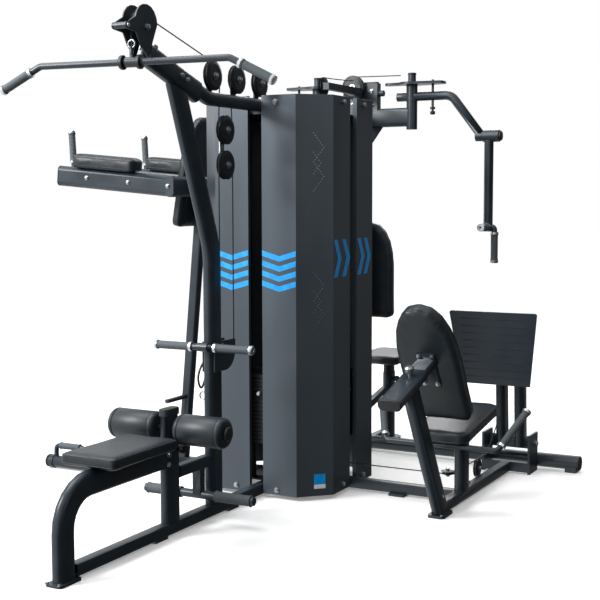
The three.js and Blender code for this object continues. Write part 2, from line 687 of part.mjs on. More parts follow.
// The carrier tube that holds the backrest, between the post and its end cap.
const CARRIER = [legPoint(-830, 598), legPoint(-548, 686)];
const SLIDE = [legPoint(-652, 653.5), legPoint(-425, 724.4)];

function addLegFrame() {
  const z = BEAM_BOTTOM + BEAM / 2;
  const { x, footY, seatPostY, railEnd } = LEG;
  const rail = sweep(roundRect(BEAM, BEAM, 6), [legPoint(-300, z), legPoint(railEnd, z)], SIDE_X, 1, 1, 1);
  const foot = plateXY(roundRect(82, 134, 20), 0, 12).translate(x, footY, 0);
  const post = sweep(roundRect(OVAL.width, OVAL.depth, OVAL.corner), [legPoint(-246, 6), legPoint(-620, 642)], SIDE_X);
  const carrier = sweep(roundRect(104, 50, 22), CARRIER, SIDE_X);
  const carrierBore = sweep(roundRect(97, 43, 18), [legPoint(-818, 601.7), legPoint(-400, 732.2)], SIDE_X);
  const seatPost = sweep(roundRect(OVAL.width, OVAL.depth, OVAL.corner), [legPoint(seatPostY, 40), legPoint(seatPostY, 370)], SIDE_X);
  const saddle = sweep(roundRect(180, 8, 3), [legPoint(-140, 351), legPoint(150, 394)], SIDE_X, 1, 1);
  const stay = box(x - 12, x + 12, -262, 20, 313, 337);
  const fork = box(x - 130, x + 130, railEnd - 40, railEnd, BEAM_BOTTOM, BEAM_TOP);
  const cheeks = [-130, 118].map((dx) => box(x + dx, x + dx + 12, railEnd - 40, LEVER.y + 40, 0, 205));
  const axle = rod(14, [at(x - 124, LEVER.y, LEVER.z), at(x + 124, LEVER.y, LEVER.z)], SIDE_Y);
  const parts = [foot, post, carrier, seatPost, saddle, stay, legHandleBar(), fork, ...cheeks, axle];
  const ground = box(x - 100, x + 100, -400, -100, -100, 0);
  addPart("leg_frame", cut(join(rail, ...parts), carrierBore, ground), charcoal);
}

// One bar across behind the seat, bent up into a handle at each end.
function legHandleBar() {
  const { x } = LEG;
  const tip = (s) => at(x + s * 356, -104, 486);
  const root = (s) => at(x + s * 270, -262, 325);
  const side = at(0, 161, -158).normalize();
  return rod(12.5, [tip(-1), root(-1), root(1), tip(1)], side, 0, 30);
}

function addLegSeat() {
  const pad = padBlock(roundRect(290, 495, 55), 54, 9);
  addPart("leg_seat_pad", pad.rotateX(0.147).translate(LEG.x, -65, 424.5), vinyl);
}

function addLegBackrest() {
  const pad = standingPad(backOutline(300, 190, 628, 330), 62, 0.545, Math.PI);
  addPart("leg_back_pad", pad.translate(LEG.x, -190, 466), vinyl);
  const tube = sweep(roundRect(94, 40, 16), SLIDE, SIDE_X);
  const plate = sweep(roundRect(84, 8, 3), [legPoint(-357, 610.5), legPoint(-450, 764)], SIDE_X, 1, 1);
  addPart("leg_back_slide", join(tube, plate), charcoal);
}

function addLegLever() {
  const { x } = LEG;
  const { y, z } = LEVER;
  const tubes = [-50, 50].map((dx) => {
    const corners = [at(x + dx, y, z - 20), at(x + dx, 757, 520), at(x + dx, 545, 655)];
    return sweep(roundRect(48, 100, 22), corners, SIDE_X, 130, 5);
  });
  const sleeve = rod(34, [at(x - 116, y, z), at(x + 116, y, z)], SIDE_Y);
  const tie = rod(20, [at(x - 60, 560, 645), at(x + 60, 560, 645)], SIDE_Y);
  const bore = rod(15, [at(x - 130, y, z), at(x + 130, y, z)], SIDE_Y);
  addPart("leg_lever", cut(join(...tubes, sleeve, tie), bore, footPlateCutter()), charcoal);
  addPart("foot_plate", footPlate(), charcoal);
}

// Wide at the top and narrower below, with its face leaning towards the seat.
function footPlate() {
  const outline = polygon([
    [-180, 0],
    [180, 0],
    [228, 373],
    [220, 381],
    [-220, 381],
    [-228, 373],
  ]);
  const plate = new THREE.ExtrudeGeometry(outline, { depth: 12, bevelEnabled: false });
  return plate.rotateX(Math.PI / 2 + 0.158).translate(LEG.x, 510, 493);
}

function footPlateCutter() {
  const block = box(-300, 300, -50, 500, -200, 0.4);
  return block.rotateX(Math.PI / 2 + 0.158 + Math.PI).translate(LEG.x, 510, 493);
}

// ---- knee raise station

function addDipFrame() {
  const { armY, armEnd, armEndZ, crossX, crossZ, postFoot, postTop } = DIP;
  const slim = roundRect(OVAL.width, OVAL.depth, OVAL.corner);
  const arms = [-armY, armY].map((y) => sweep(slim, [at(armEnd, y, armEndZ), at(crossX + 12, y, crossZ)], SIDE_Y));
  const cross = sweep(slim, [at(crossX, -armY - 25, crossZ), at(crossX, armY + 25, crossZ)], SIDE_X);
  const tie = box(crossX, -344, -25, 25, crossZ - 25, crossZ + 25);
  const post = sweep(roundRect(BEAM, 52, 10), [at(postFoot, 0, BEAM_TOP - 6), at(postTop, 0, crossZ - 30)], SIDE_Y);
  const handles = [-armY, armY].map((y) => rod(13, [at(-1098, y, 1540), at(-1112, y, 1790)], SIDE_Y));
  const peg = rod(12, [at(-622, -20, 392), at(-622, -200, 392)], SIDE_X);
  const floor = box(-900, -400, -60, 60, -50, BEAM_TOP + GAP);
  addPart("dip_frame", cut(join(post, cross, tie, ...arms, ...handles, peg), floor), charcoal);
}

function addDipPads() {
  const { armY } = DIP;
  for (const [name, y] of [["front", -armY], ["rear", armY]]) {
    const pad = padBlock(roundRect(392, 120, 30), 66, 9);
    addPart(`arm_pad_${name}`, pad.rotateY(0.088).translate(-884, y, 1652), vinyl);
  }
  const back = standingPad(backOutline(300, 130, 588, 330), 46, 0.163, -Math.PI / 2);
  addPart("knee_back_pad", back.translate(-625, 0, 1290), vinyl);
}

// ---- cables that stay inside the frame

function addRowCable() {
  const { y, z, strand } = ROW;
  const points = [
    at(0, y + 22, z),
    at(0, strand - 30, z),
    at(0, strand - 8, z + 9),
    at(0, strand, z + 30),
    ...arcPoints(DROP.y, DROP.lower, 180, 0, 8),
    at(0, DROP.y + PULLEY.groove + WRAP, z - 10),
  ];
  addPart("row_cable", cable(points), cableBlack);
}

// A straight upright run of cable.
function addDrop(name, x, y, bottom, top) {
  addPart(name, upright(CABLE_RADIUS, x, y, bottom, top), cableBlack);
}

function addStackCables() {
  const { offset } = STACK;
  addDrop("right_stack_cable", offset, 0, stackTop + 80 + GAP, TOP_PLATE_Z - 8);
  addDrop("rear_stack_cable", 0, offset, stackTop + 80 + GAP, TOP_PLATE_Z - 8);
}

// Out of the tower under the seat, round a corner wheel, and along the rail to the lever.
function addLegCable() {
  const x = LEG.x - 44;
  const level = 130;
  const across = rod(CABLE_RADIUS, [at(60, 0, level), at(x, 0, level), at(x, 372, level)], SIDE_Z, 0, 30);
  const rise = rod(CABLE_RADIUS, [at(x, 360, level), at(x, 520, level), at(x, 706, 290)], SIDE_X, 0, 60);
  addPart("leg_cable", join(across, rise), cableBlack);
}

addTowerPanels();
addTopPlate();
addStacks();
addBaseFrame();
addFrontLeg();
addSeatPost();
addLatSeat();
addThighRollers();
addMast();
addBoom();
addPulleyHead();
addLatPulleys();
addDropBlock();
addLatBar();
addRowBar();
addLatCable();
addFlyFrame();
addFlyArms();
addFlySeat();
addFlyBackPad();
addFlyPulley();
addLegFrame();
addLegSeat();
addLegBackrest();
addLegLever();
addDipFrame();
addDipPads();
addRowCable();
addStackCables();
addLegCable();

export default group;
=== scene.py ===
import json
from math import cos, pi, radians, sin

import bmesh
import bpy
from mathutils import Matrix, Vector


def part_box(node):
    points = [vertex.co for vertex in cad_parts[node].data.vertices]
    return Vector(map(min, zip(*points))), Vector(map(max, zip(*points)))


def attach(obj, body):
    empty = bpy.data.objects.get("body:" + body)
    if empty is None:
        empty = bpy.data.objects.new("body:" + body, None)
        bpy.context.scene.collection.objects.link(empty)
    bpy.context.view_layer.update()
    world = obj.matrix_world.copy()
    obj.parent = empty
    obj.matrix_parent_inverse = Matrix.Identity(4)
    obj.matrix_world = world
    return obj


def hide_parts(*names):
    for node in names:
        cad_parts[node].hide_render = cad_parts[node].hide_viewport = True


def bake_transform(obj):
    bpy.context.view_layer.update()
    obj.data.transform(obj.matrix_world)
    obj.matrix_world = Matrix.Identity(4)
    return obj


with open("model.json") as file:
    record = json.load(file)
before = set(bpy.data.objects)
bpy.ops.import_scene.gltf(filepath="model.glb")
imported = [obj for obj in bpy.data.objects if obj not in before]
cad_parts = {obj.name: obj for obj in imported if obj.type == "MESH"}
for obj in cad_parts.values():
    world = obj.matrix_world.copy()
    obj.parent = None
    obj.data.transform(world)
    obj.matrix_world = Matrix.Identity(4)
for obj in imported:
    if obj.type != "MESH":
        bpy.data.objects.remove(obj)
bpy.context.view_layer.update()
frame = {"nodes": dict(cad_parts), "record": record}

nodes = frame["nodes"]
bodyOf = {n: b for b, members in frame["record"]["behaviour"]["bodies"].items() for n in members}
slotOf = {part["node"]: part["material_slot"] for part in frame["record"]["subparts"]}
sides = (("right", 1), ("left", -1))

# Camera and light

cameraSettings = {"place": (2.82, -5.186, 1.45), "turn": (84.94, 0.14, 28.06), "lens": 70.6, "sensor": 36}
lightSettings = {  # where each soft box stands, what it points at, its side in metres and its watts
    "keyLeft": ((-3.5, -5.0, 4.2), (0, 0, 1.1), 2.2, 420),
    "fillRight": ((5.5, -2.0, 2.6), (0.5, 0, 0.9), 2.0, 18),
    "topSoft": ((-1.2, -1.6, 5.0), (-0.2, -0.8, 0.9), 2.6, 120),
    "rimBack": ((-1.5, 5.0, 3.5), (0, 0, 1.0), 2.0, 70),
}


def addCamera():
    data = bpy.data.cameras.new("camera")
    data.lens = cameraSettings["lens"]
    data.sensor_width = cameraSettings["sensor"]
    camera = bpy.data.objects.new("camera", data)
    camera.location = cameraSettings["place"]
    camera.rotation_euler = [radians(a) for a in cameraSettings["turn"]]
    bpy.context.scene.collection.objects.link(camera)
    bpy.context.scene.camera = camera


def addLight(name, place, target, size, power):
    data = bpy.data.lights.new(name, "AREA")
    data.size = size
    data.energy = power
    light = bpy.data.objects.new(name, data)
    light.location = place
    light.rotation_euler = (Vector(target) - Vector(place)).to_track_quat("-Z", "Y").to_euler()
    bpy.context.scene.collection.objects.link(light)


addCamera()
for name, settings in lightSettings.items():
    addLight(name, *settings)
bpy.context.scene.view_settings.view_transform = "Standard"
print("camera and lights are set")

# Materials


def linear(hexColour):
    channels = [int(hexColour[i:i + 2], 16) / 255 for i in (1, 3, 5)]
    return tuple(c / 12.92 if c <= 0.04045 else ((c + 0.055) / 1.055) ** 2.4 for c in channels) + (1,)


def grey(value):
    return (value, value, value, 1)


def addNode(tree, kind, settings=(), links=()):
    node = tree.nodes.new(kind)
    for key, value in dict(settings).items():
        if key == "stops":
            for stop, (position, colour) in zip(node.color_ramp.elements, value):
                stop.position = position
                stop.color = colour
        elif key in node.inputs.keys():
            node.inputs[key].default_value = value
        else:
            setattr(node, key, value)
    for key, source in dict(links).items():
        tree.links.new(source, node.inputs[key])
    return node


def startMaterial(name, **sockets):
    material = bpy.data.materials.new(name)
    material.use_nodes = True
    shader = material.node_tree.nodes["Principled BSDF"]
    for key, value in sockets.items():
        shader.inputs[key.replace("_", " ")].default_value = value
    return material, material.node_tree, shader


def objectSpace(tree, stretch=(1, 1, 1)):
    place = addNode(tree, "ShaderNodeTexCoord").outputs["Object"]
    return addNode(tree, "ShaderNodeMapping", {"Scale": stretch}, {"Vector": place}).outputs["Vector"]


def between(tree, pattern, low, high):  # runs from one value to another as the pattern rises
    return addNode(tree, "ShaderNodeValToRGB", {"stops": (low, high)}, {"Fac": pattern}).outputs["Color"]


def addGrain(tree, shader, height, strength, depth):
    bump = addNode(tree, "ShaderNodeBump", {"Strength": strength, "Distance": depth}, {"Height": height})
    tree.links.new(bump.outputs["Normal"], shader.inputs["Normal"])


def satinPowderCoat(name, dark, light):  # sprayed polyester powder: a soft sheen with a fine orange peel
    material, tree, shader = startMaterial(name, Metallic=0.1, Roughness=0.36)
    space = objectSpace(tree)
    cloud = addNode(tree, "ShaderNodeTexNoise", {"Scale": 7, "Detail": 4}, {"Vector": space}).outputs["Fac"]
    peel = addNode(tree, "ShaderNodeTexNoise", {"Scale": 520, "Detail": 2}, {"Vector": space}).outputs["Fac"]
    tone = between(tree, cloud, (0.3, linear(dark)), (0.7, linear(light)))
    gloss = between(tree, cloud, (0.3, grey(0.3)), (0.7, grey(0.4)))
    tree.links.new(tone, shader.inputs["Base Color"])
    tree.links.new(gloss, shader.inputs["Roughness"])
    addGrain(tree, shader, peel, 0.12, 0.0006)
    return material


def metallicSheetPaint(name, dark, light):  # flake paint on flat sheet: a painted glint lightens random flakes in the base colour, flake bumps catch the light, and the tone drifts slowly
    material, tree, shader = startMaterial(name, Metallic=0.45, Roughness=0.36)
    flake = addNode(tree, "ShaderNodeTexVoronoi", {"Scale": 900}, {"Vector": objectSpace(tree)})
    tall = objectSpace(tree, (1, 1, 0.35))
    drift = addNode(tree, "ShaderNodeTexNoise", {"Scale": 2.2, "Detail": 3}, {"Vector": tall}).outputs["Fac"]
    tone = between(tree, drift, (0.35, linear(dark)), (0.65, linear(light)))
    # painted glint: random flakes are made lighter in the base colour to stand in for their sparkle
    paintedGlint = between(tree, flake.outputs["Color"], (0.2, grey(0.86)), (0.9, grey(1.0)))
    gloss = between(tree, drift, (0.35, grey(0.32)), (0.65, grey(0.42)))
    mixSettings = {"blend_type": "MULTIPLY", "Fac": 1.0}
    mix = addNode(tree, "ShaderNodeMixRGB", mixSettings, {"Color1": tone, "Color2": paintedGlint})
    tree.links.new(mix.outputs["Color"], shader.inputs["Base Color"])
    tree.links.new(gloss, shader.inputs["Roughness"])
    addGrain(tree, shader, flake.outputs["Distance"], 0.04, 0.0003)
    return material


def grainedVinyl(name, dark, light):  # calendered PVC upholstery: a pebbled leather grain with a low sheen
    material, tree, shader = startMaterial(name, Roughness=0.46)
    space = objectSpace(tree)
    pebble = addNode(tree, "ShaderNodeTexVoronoi", {"Scale": 420}, {"Vector": space}).outputs["Distance"]
    pull = addNode(tree, "ShaderNodeTexNoise", {"Scale": 14, "Detail": 5}, {"Vector": space}).outputs["Fac"]
    tone = between(tree, pull, (0.3, linear(dark)), (0.75, linear(light)))
    gloss = between(tree, pebble, (0.0, grey(0.34)), (0.8, grey(0.46)))
    tree.links.new(tone, shader.inputs["Base Color"])
    tree.links.new(gloss, shader.inputs["Roughness"])
    addGrain(tree, shader, pebble, 0.35, 0.0007)
    return material


def mouldedPlastic(name, dark, light, rough, scale, strength):  # moulded nylon or rubber: even colour, eroded skin
    material, tree, shader = startMaterial(name, Roughness=rough)
    space = objectSpace(tree)
    skin = addNode(tree, "ShaderNodeTexNoise", {"Scale": scale, "Detail": 3}, {"Vector": space}).outputs["Fac"]
    tone = between(tree, skin, (0.35, linear(dark)), (0.65, linear(light)))
    gloss = between(tree, skin, (0.3, grey(rough - 0.06)), (0.7, grey(rough + 0.06)))
    tree.links.new(tone, shader.inputs["Base Color"])
    tree.links.new(gloss, shader.inputs["Roughness"])
    addGrain(tree, shader, skin, strength, 0.0006)
    return material


def turnedMetal(name, dark, light, rough):  # turned and plated metal: fine tool rings catch the light
    material, tree, shader = startMaterial(name, Metallic=1.0, Roughness=rough)
    space = objectSpace(tree, (1, 1, 4))
    ring = addNode(tree, "ShaderNodeTexNoise", {"Scale": 260, "Detail": 2}, {"Vector": space}).outputs["Fac"]
    tone = between(tree, ring, (0.3, linear(dark)), (0.7, linear(light)))
    gloss = between(tree, ring, (0.3, grey(rough)), (0.7, grey(rough + 0.14)))
    tree.links.new(tone, shader.inputs["Base Color"])
    tree.links.new(gloss, shader.inputs["Roughness"])
    addGrain(tree, shader, ring, 0.08, 0.0003)
    return material


powderCoat = satinPowderCoat("satinPowderCoat", "#222b33", "#2c363e")
shroudPaint = metallicSheetPaint("metallicSheetPaint", "#4a525a", "#565f67")
vinyl = grainedVinyl("grainedVinyl", "#161d22", "#222a30")
wheelNylon = mouldedPlastic("mouldedNylon", "#13171a", "#20262a", 0.42, 300, 0.12)
plateIron = mouldedPlastic("paintedCastPlate", "#101214", "#1d2022", 0.55, 160, 0.3)
cableSkin = mouldedPlastic("nylonCableJacket", "#0b0c0d", "#16181a", 0.36, 600, 0.1)
gripRubber = mouldedPlastic("foamedGripRubber", "#444c51", "#596166", 0.68, 420, 0.3)
blackPlug = mouldedPlastic("polypropylenePlug", "#0f1113", "#1b1e20", 0.5, 350, 0.12)
chevronFilm = mouldedPlastic("blueVinylFilm", "#0291e2", "#0aa5f5", 0.4, 40, 0.03)
whiteFilm = mouldedPlastic("whiteVinylFilm", "#dfe6ea", "#f2f6f8", 0.4, 60, 0.03)
brightAlloy = turnedMetal("turnedAluminium", "#c3c8cc", "#eef1f3", 0.2)
zincPlate = turnedMetal("zincPlatedSteel", "#8d9398", "#c8cdd1", 0.28)
slotMaterials = {
    "powder_coat": powderCoat,
    "shroud_paint": shroudPaint,
    "vinyl": vinyl,
    "pulley_plastic": wheelNylon,
    "cable_jacket": cableSkin,
    "cast_iron": plateIron,
    "zinc_steel": zincPlate,
}

studioSettings = {"shadeSide": (1.0, 0.12, -0.5), "from": -0.05, "to": 0.5, "room": 1.0, "shade": 0.05}


def addStudio():  # a white room whose light falls off on the side away from the key light and below
    world = bpy.data.worlds.new("studio")
    world.use_nodes = True
    tree = world.node_tree
    way = addNode(tree, "ShaderNodeTexCoord").outputs["Generated"]
    dot = addNode(tree, "ShaderNodeVectorMath", {"operation": "DOT_PRODUCT"}, {0: way})
    dot.inputs[1].default_value = studioSettings["shadeSide"]
    span = {"From Min": studioSettings["from"], "From Max": studioSettings["to"]}
    ends = {"To Min": studioSettings["room"], "To Max": studioSettings["shade"]}
    fall = addNode(tree, "ShaderNodeMapRange", {**span, **ends}, {"Value": dot.outputs["Value"]})
    seen = addNode(tree, "ShaderNodeLightPath").outputs["Is Camera Ray"]
    shown = addNode(tree, "ShaderNodeMath", {"operation": "MAXIMUM"}, {0: fall.outputs["Result"], 1: seen})
    background = tree.nodes["Background"]
    background.inputs["Color"].default_value = grey(1)
    tree.links.new(shown.outputs["Value"], background.inputs["Strength"])
    bpy.context.scene.world = world


addStudio()
print("materials are ready")

# Mesh helpers


def newPiece(name, bm, material, body, smoothAngle=35):
    bmesh.ops.recalc_face_normals(bm, faces=bm.faces)
    mesh = bpy.data.meshes.new(name)
    bm.to_mesh(mesh)
    bm.free()
    mesh.shade_smooth()
    mesh.set_sharp_from_angle(angle=radians(smoothAngle))
    mesh.materials.append(material)
    piece = bpy.data.objects.new(name, mesh)
    bpy.context.scene.collection.objects.link(piece)
    if body:
        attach(piece, body)
    return piece


def along(start, end):  # stands local Z at start, pointing at end
    start, end = Vector(start), Vector(end)
    return Matrix.Translation(start) @ (end - start).to_track_quat("Z", "Y").to_matrix().to_4x4()


def outFrom(place, outward):  # stands local Z at a place, pointing outwards
    return along(place, Vector(place) + Vector(outward))


def addPart(bm, part, place):
    part.transform(place)
    mesh = bpy.data.meshes.new("part")
    part.to_mesh(mesh)
    part.free()
    bm.from_mesh(mesh)
    bpy.data.meshes.remove(mesh)


def addTurned(bm, profile, place, steps=24):
    part = bmesh.new()
    points = [part.verts.new((r, 0, z)) for r, z in profile]
    geom = points + [part.edges.new(pair) for pair in zip(points, points[1:])]
    turn = {"axis": (0, 0, 1), "cent": (0, 0, 0), "angle": 2 * pi, "steps": steps}
    bmesh.ops.spin(part, geom=geom, use_merge=True, **turn)
    bmesh.ops.remove_doubles(part, verts=part.verts, dist=1e-6)
    addPart(bm, part, place)


def softenEdges(bm, edges, offset, segments):
    bmesh.ops.bevel(bm, geom=edges, offset=offset, affect="EDGES", segments=segments, profile=0.5, material=-1)


def addBolt(bm, place, outward, size):  # hexagon head on a washer
    matrix = outFrom(place, outward)
    washer = [(0, 0), (size * 1.25, 0), (size * 1.25, size * 0.16), (0, size * 0.16)]
    addTurned(bm, washer, matrix, 18)
    head = bmesh.new()
    bmesh.ops.create_cone(head, cap_ends=True, segments=6, radius1=size, radius2=size, depth=size * 0.8)
    softenEdges(head, head.edges, size * 0.09, 2)
    addPart(bm, head, matrix @ Matrix.Translation((0, 0, size * 0.56)))


def tubePiece(name, points, radius, material, body):
    curve = bpy.data.curves.new(name, "CURVE")
    curve.dimensions = "3D"
    curve.bevel_depth = radius
    curve.bevel_resolution = 3
    curve.use_fill_caps = True
    spline = curve.splines.new("NURBS")
    spline.points.add(len(points) - 1)
    for point, place in zip(spline.points, points):
        point.co = (*place, 1)
    spline.use_endpoint_u = True
    spline.order_u = 3
    source = bpy.data.objects.new(name, curve)
    bpy.context.scene.collection.objects.link(source)
    depsgraph = bpy.context.evaluated_depsgraph_get()
    bm = bmesh.new()
    bm.from_mesh(bpy.data.meshes.new_from_object(source.evaluated_get(depsgraph)))
    bpy.data.objects.remove(source)
    return newPiece(name, bm, material, body, 60)


def copyMesh(node):
    bm = bmesh.new()
    bm.from_mesh(nodes[node].data)
    bmesh.ops.remove_doubles(bm, verts=bm.verts, dist=2e-5)
    return bm


def applyModifiers(piece):
    depsgraph = bpy.context.evaluated_depsgraph_get()
    made = bpy.data.meshes.new_from_object(piece.evaluated_get(depsgraph))
    piece.modifiers.clear()
    old = piece.data
    piece.data = made
    bpy.data.meshes.remove(old)


# Frame nodes: the same solids, welded, with the sheet and plate edges softly broken

edgeSettings = {"flat": 1.5, "smooth": 32, "width": 0.0008, "segments": 2, "sharp": 50}
sheetNodes = ("panel", "lat_head", "foot_plate", "front_leg", "fly_frame")


def finishNode(node):
    bm = copyMesh(node)
    bmesh.ops.dissolve_limit(bm, angle_limit=radians(edgeSettings["flat"]), verts=bm.verts, edges=bm.edges)
    slotName, smooth = slotOf[node], edgeSettings["smooth"]
    piece = newPiece(f"{node}_finished", bm, slotMaterials[slotName], bodyOf[node], smooth)
    if node.startswith(sheetNodes):
        bevel = piece.modifiers.new("edge", "BEVEL")
        bevel.width = edgeSettings["width"]
        bevel.segments = edgeSettings["segments"]
        bevel.limit_method = "ANGLE"
        bevel.angle_limit = radians(edgeSettings["sharp"])
    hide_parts(node)


softNodes = [n for n, slotName in slotOf.items() if slotName == "vinyl"]
movingCables = {
    "lat_bar_cable": "lat_bar",
    "front_stack_cable": "front_stack",
    "right_stack_cable": "right_stack",
    "rear_stack_cable": "rear_stack",
}
for node in sorted(nodes):
    if node not in softNodes and node not in movingCables:
        finishNode(node)
print("frame nodes are finished")

# Pads: foam under stretched vinyl

padSettings = {
    "shrink": 0.003,  # the shell starts this far inside and the foam swells it back
    "voxel": 0.006,
    "pressure": 4.0,
    "frames": 20,
    "cap": 0.007,
    "smoothings": 4,
    "welt": 0.0021,
    "seams": (0.74, 0.2),  # shares of the thickness where the piped seams run
    "fill": 0.85,
}
rollerNodes = [n for n in softNodes if n.startswith("thigh_roller")]
padNodes = [n for n in softNodes if n not in rollerNodes]


def thicknessAxis(mesh):
    areas = {}
    for face in mesh.polygons:
        key = tuple(round(abs(c), 2) for c in face.normal)
        total, normal = areas.get(key, (0, face.normal.copy()))
        areas[key] = (total + face.area, normal)
    return max(areas.values(), key=lambda entry: entry[0])[1].normalized()


def startPad(node):
    bm = copyMesh(node)
    bmesh.ops.recalc_face_normals(bm, faces=bm.faces)
    bm.normal_update()
    for vert in bm.verts:
        vert.co -= vert.normal * padSettings["shrink"]
    pad = newPiece(f"{node}_cushion", bm, vinyl, None, 60)
    remesh = pad.modifiers.new("voxels", "REMESH")
    remesh.voxel_size = padSettings["voxel"]
    remesh.use_smooth_shade = True
    applyModifiers(pad)
    return pad


def inflate(pads):
    rest = {pad.name: [v.co.copy() for v in pad.data.vertices] for pad in pads}
    for pad in pads:
        cloth = pad.modifiers.new("foam", "CLOTH")
        cloth.settings.use_pressure = True
        cloth.settings.uniform_pressure_force = padSettings["pressure"]
        cloth.settings.effector_weights.gravity = 0
        cloth.settings.quality = 4
        cloth.collision_settings.use_collision = False
    for number in range(1, padSettings["frames"] + 1):
        bpy.context.scene.frame_set(number)
    cap = padSettings["cap"]
    for pad in pads:
        applyModifiers(pad)
        for vert, start in zip(pad.data.vertices, rest[pad.name]):
            step = vert.co - start
            if step.length > cap:
                vert.co = start + step.normalized() * cap
    bpy.context.scene.frame_set(1)


def roundPad(pad):
    bm = bmesh.new()
    bm.from_mesh(pad.data)
    allAxes = {"use_axis_x": True, "use_axis_y": True, "use_axis_z": True}
    for turn in range(padSettings["smoothings"]):
        bmesh.ops.smooth_vert(bm, verts=bm.verts, factor=0.5, **allAxes)
    bm.to_mesh(pad.data)
    bm.free()
    subdivision = pad.modifiers.new("finish", "SUBSURF")
    subdivision.levels = 1
    subdivision.render_levels = 1
    applyModifiers(pad)
    pad.data.shade_smooth()


def seamLoop(pad, axis, level):  # the outline of the pad where a plane cuts it
    bm = bmesh.new()
    bm.from_mesh(pad.data)
    everything = bm.verts[:] + bm.edges[:] + bm.faces[:]
    cut = bmesh.ops.bisect_plane(bm, geom=everything, plane_co=axis * level, plane_no=axis)
    kept = {g for g in cut["geom_cut"] if isinstance(g, bmesh.types.BMEdge)}
    bmesh.ops.delete(bm, geom=[e for e in bm.edges if e not in kept], context="EDGES")
    bmesh.ops.delete(bm, geom=[v for v in bm.verts if not v.link_edges], context="VERTS")
    start = bm.verts[:][0]
    loop, edge, vert = [start.co.copy()], start.link_edges[0], start
    for step in range(len(bm.edges)):
        vert = edge.other_vert(vert)
        if vert is start:
            break
        loop.append(vert.co.copy())
        following = [e for e in vert.link_edges if e is not edge]
        if not following:
            break
        edge = following[0]
    bm.free()
    return loop


def weltRound(node, pad, share):  # piped seam where the face panel meets the side band
    axis = thicknessAxis(nodes[node].data)
    reach = [vert.co.dot(axis) for vert in pad.data.vertices]
    level = min(reach) + (max(reach) - min(reach)) * share
    loop = seamLoop(pad, axis, level)[::3]
    tubePiece(f"{node}_welt", loop + loop[:2], padSettings["welt"], blackPlug, bodyOf[node])


pads = {node: startPad(node) for node in padNodes}
inflate(list(pads.values()))
for node, pad in pads.items():
    roundPad(pad)
    for share in padSettings["seams"]:
        weltRound(node, pad, share)
    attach(pad, bodyOf[node])
    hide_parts(node)
print("pads are made")

rollerSettings = {"inner": 0.0136, "outer": 0.0655, "round": 0.02, "seam": 0.0265, "fill": 0.95}


def addRoller(node):
    low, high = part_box(node)
    length = high[0] - low[0]
    y, z = ((low[i] + high[i]) / 2 for i in (1, 2))
    inner, outer, soft, groove = (rollerSettings[k] for k in ("inner", "outer", "round", "seam"))
    turns = [i * pi / 12 for i in range(7)]
    corner = [(outer - soft * (1 - sin(a)), soft * (1 - cos(a))) for a in turns]
    seam = [(outer + 0.0008, groove - 0.0025), (outer - 0.0016, groove), (outer + 0.0002, groove + 0.0025)]
    near = [(inner, 0.004), (inner + 0.01, 0)] + corner + seam
    far = [(r, length - z) for r, z in reversed(near)]
    bm = bmesh.new()
    addTurned(bm, near + far + [near[0]], along((low[0], y, z), (high[0], y, z)), 64)
    roller = newPiece(f"{node}_cushion", bm, vinyl, bodyOf[node], 50)
    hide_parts(node)


for node in rollerNodes:
    addRoller(node)
print("rollers are made")

# Grips, caps and plugs

gripSettings = {"wall": 0.0042, "flare": 0.002, "groove": 0.0009, "pitch": 0.007, "lead": 0.006, "capProud": 0.003}


def addGrip(name, body, start, end, radius, capEnd=True):
    start, end = Vector(start), Vector(end)
    length = (end - start).length
    wall = radius + gripSettings["wall"]
    lip = wall + gripSettings["flare"]
    valley = wall - gripSettings["groove"]
    pitch, lead = gripSettings["pitch"], gripSettings["lead"]
    profile = [(radius, 0), (lip, 0.001), (lip, 0.005)]
    for i in range(int((length - 2 * lead) / pitch)):
        z = lead + i * pitch
        profile += [(wall, z + 0.001), (wall, z + 0.005), (valley, z + 0.006)]
    profile += [(lip, length - 0.004), (lip, length - 0.001), (radius, length)]
    bm = bmesh.new()
    addTurned(bm, profile, along(start, end), 20)
    newPiece(f"{name}_grip", bm, gripRubber, body, 50)
    if capEnd:
        addGripCaps(name, body, start, end, radius, wall + gripSettings["capProud"])


def addGripCaps(name, body, start, end, radius, outer):  # turned end cap and the ring at the root of the grip
    cap = [(0, -0.001), (outer, -0.001), (outer, 0.009), (outer - 0.003, 0.013)]
    cap += [(0.006, 0.0135), (0.005, 0.011), (0, 0.011)]
    ring = [(radius, -0.012), (outer, -0.012), (outer, 0.0), (radius, 0.0)]
    direction = end - start
    bm = bmesh.new()
    addTurned(bm, cap, outFrom(end, direction), 28)
    addTurned(bm, ring, outFrom(start, direction), 28)
    newPiece(f"{name}_cap", bm, brightAlloy, body, 40)


latBar = {"turn": 7, "y": -1.314, "z": 1.981, "radius": 0.0142}


def turnedBar(x, drop):  # a point of the lat bar, which hangs a little turned
    angle = radians(latBar["turn"])
    return (x * cos(angle), latBar["y"] + x * sin(angle), latBar["z"] - drop)


rowBar = {"y": -0.812, "z": 0.781, "root": 0.07, "tip": 0.243, "radius": 0.0142}
footrest = {"y": -0.86, "z": 0.128, "root": 0.09, "tip": 0.272, "radius": 0.0195}
flyHandle = {"x": 0.771, "y": 0.87, "top": 1.242, "bottom": 1.101, "radius": 0.0152}
flyPress = {"x": 0.735, "root": 0.836, "tip": 0.762, "z": 1.281, "radius": 0.0152}
legHandle = {"middle": 0.91, "root": (0.283, -0.2386, 0.349), "tip": (0.352, -0.111, 0.479), "radius": 0.0127}
lowBar = {"root": -1.095, "tip": -1.225, "z": 0.124, "radius": 0.0132}
dipBar = {"foot": (-1.1033, 1.635), "head": (-1.1112, 1.776), "radius": 0.0132, "y": 0.32}


def crossGrip(name, body, bar, sign, capEnd=True):  # a grip on one half of a straight bar along X
    root = (sign * bar["root"], bar["y"], bar["z"])
    tip = (sign * bar["tip"], bar["y"], bar["z"])
    addGrip(name, body, root, tip, bar["radius"], capEnd)


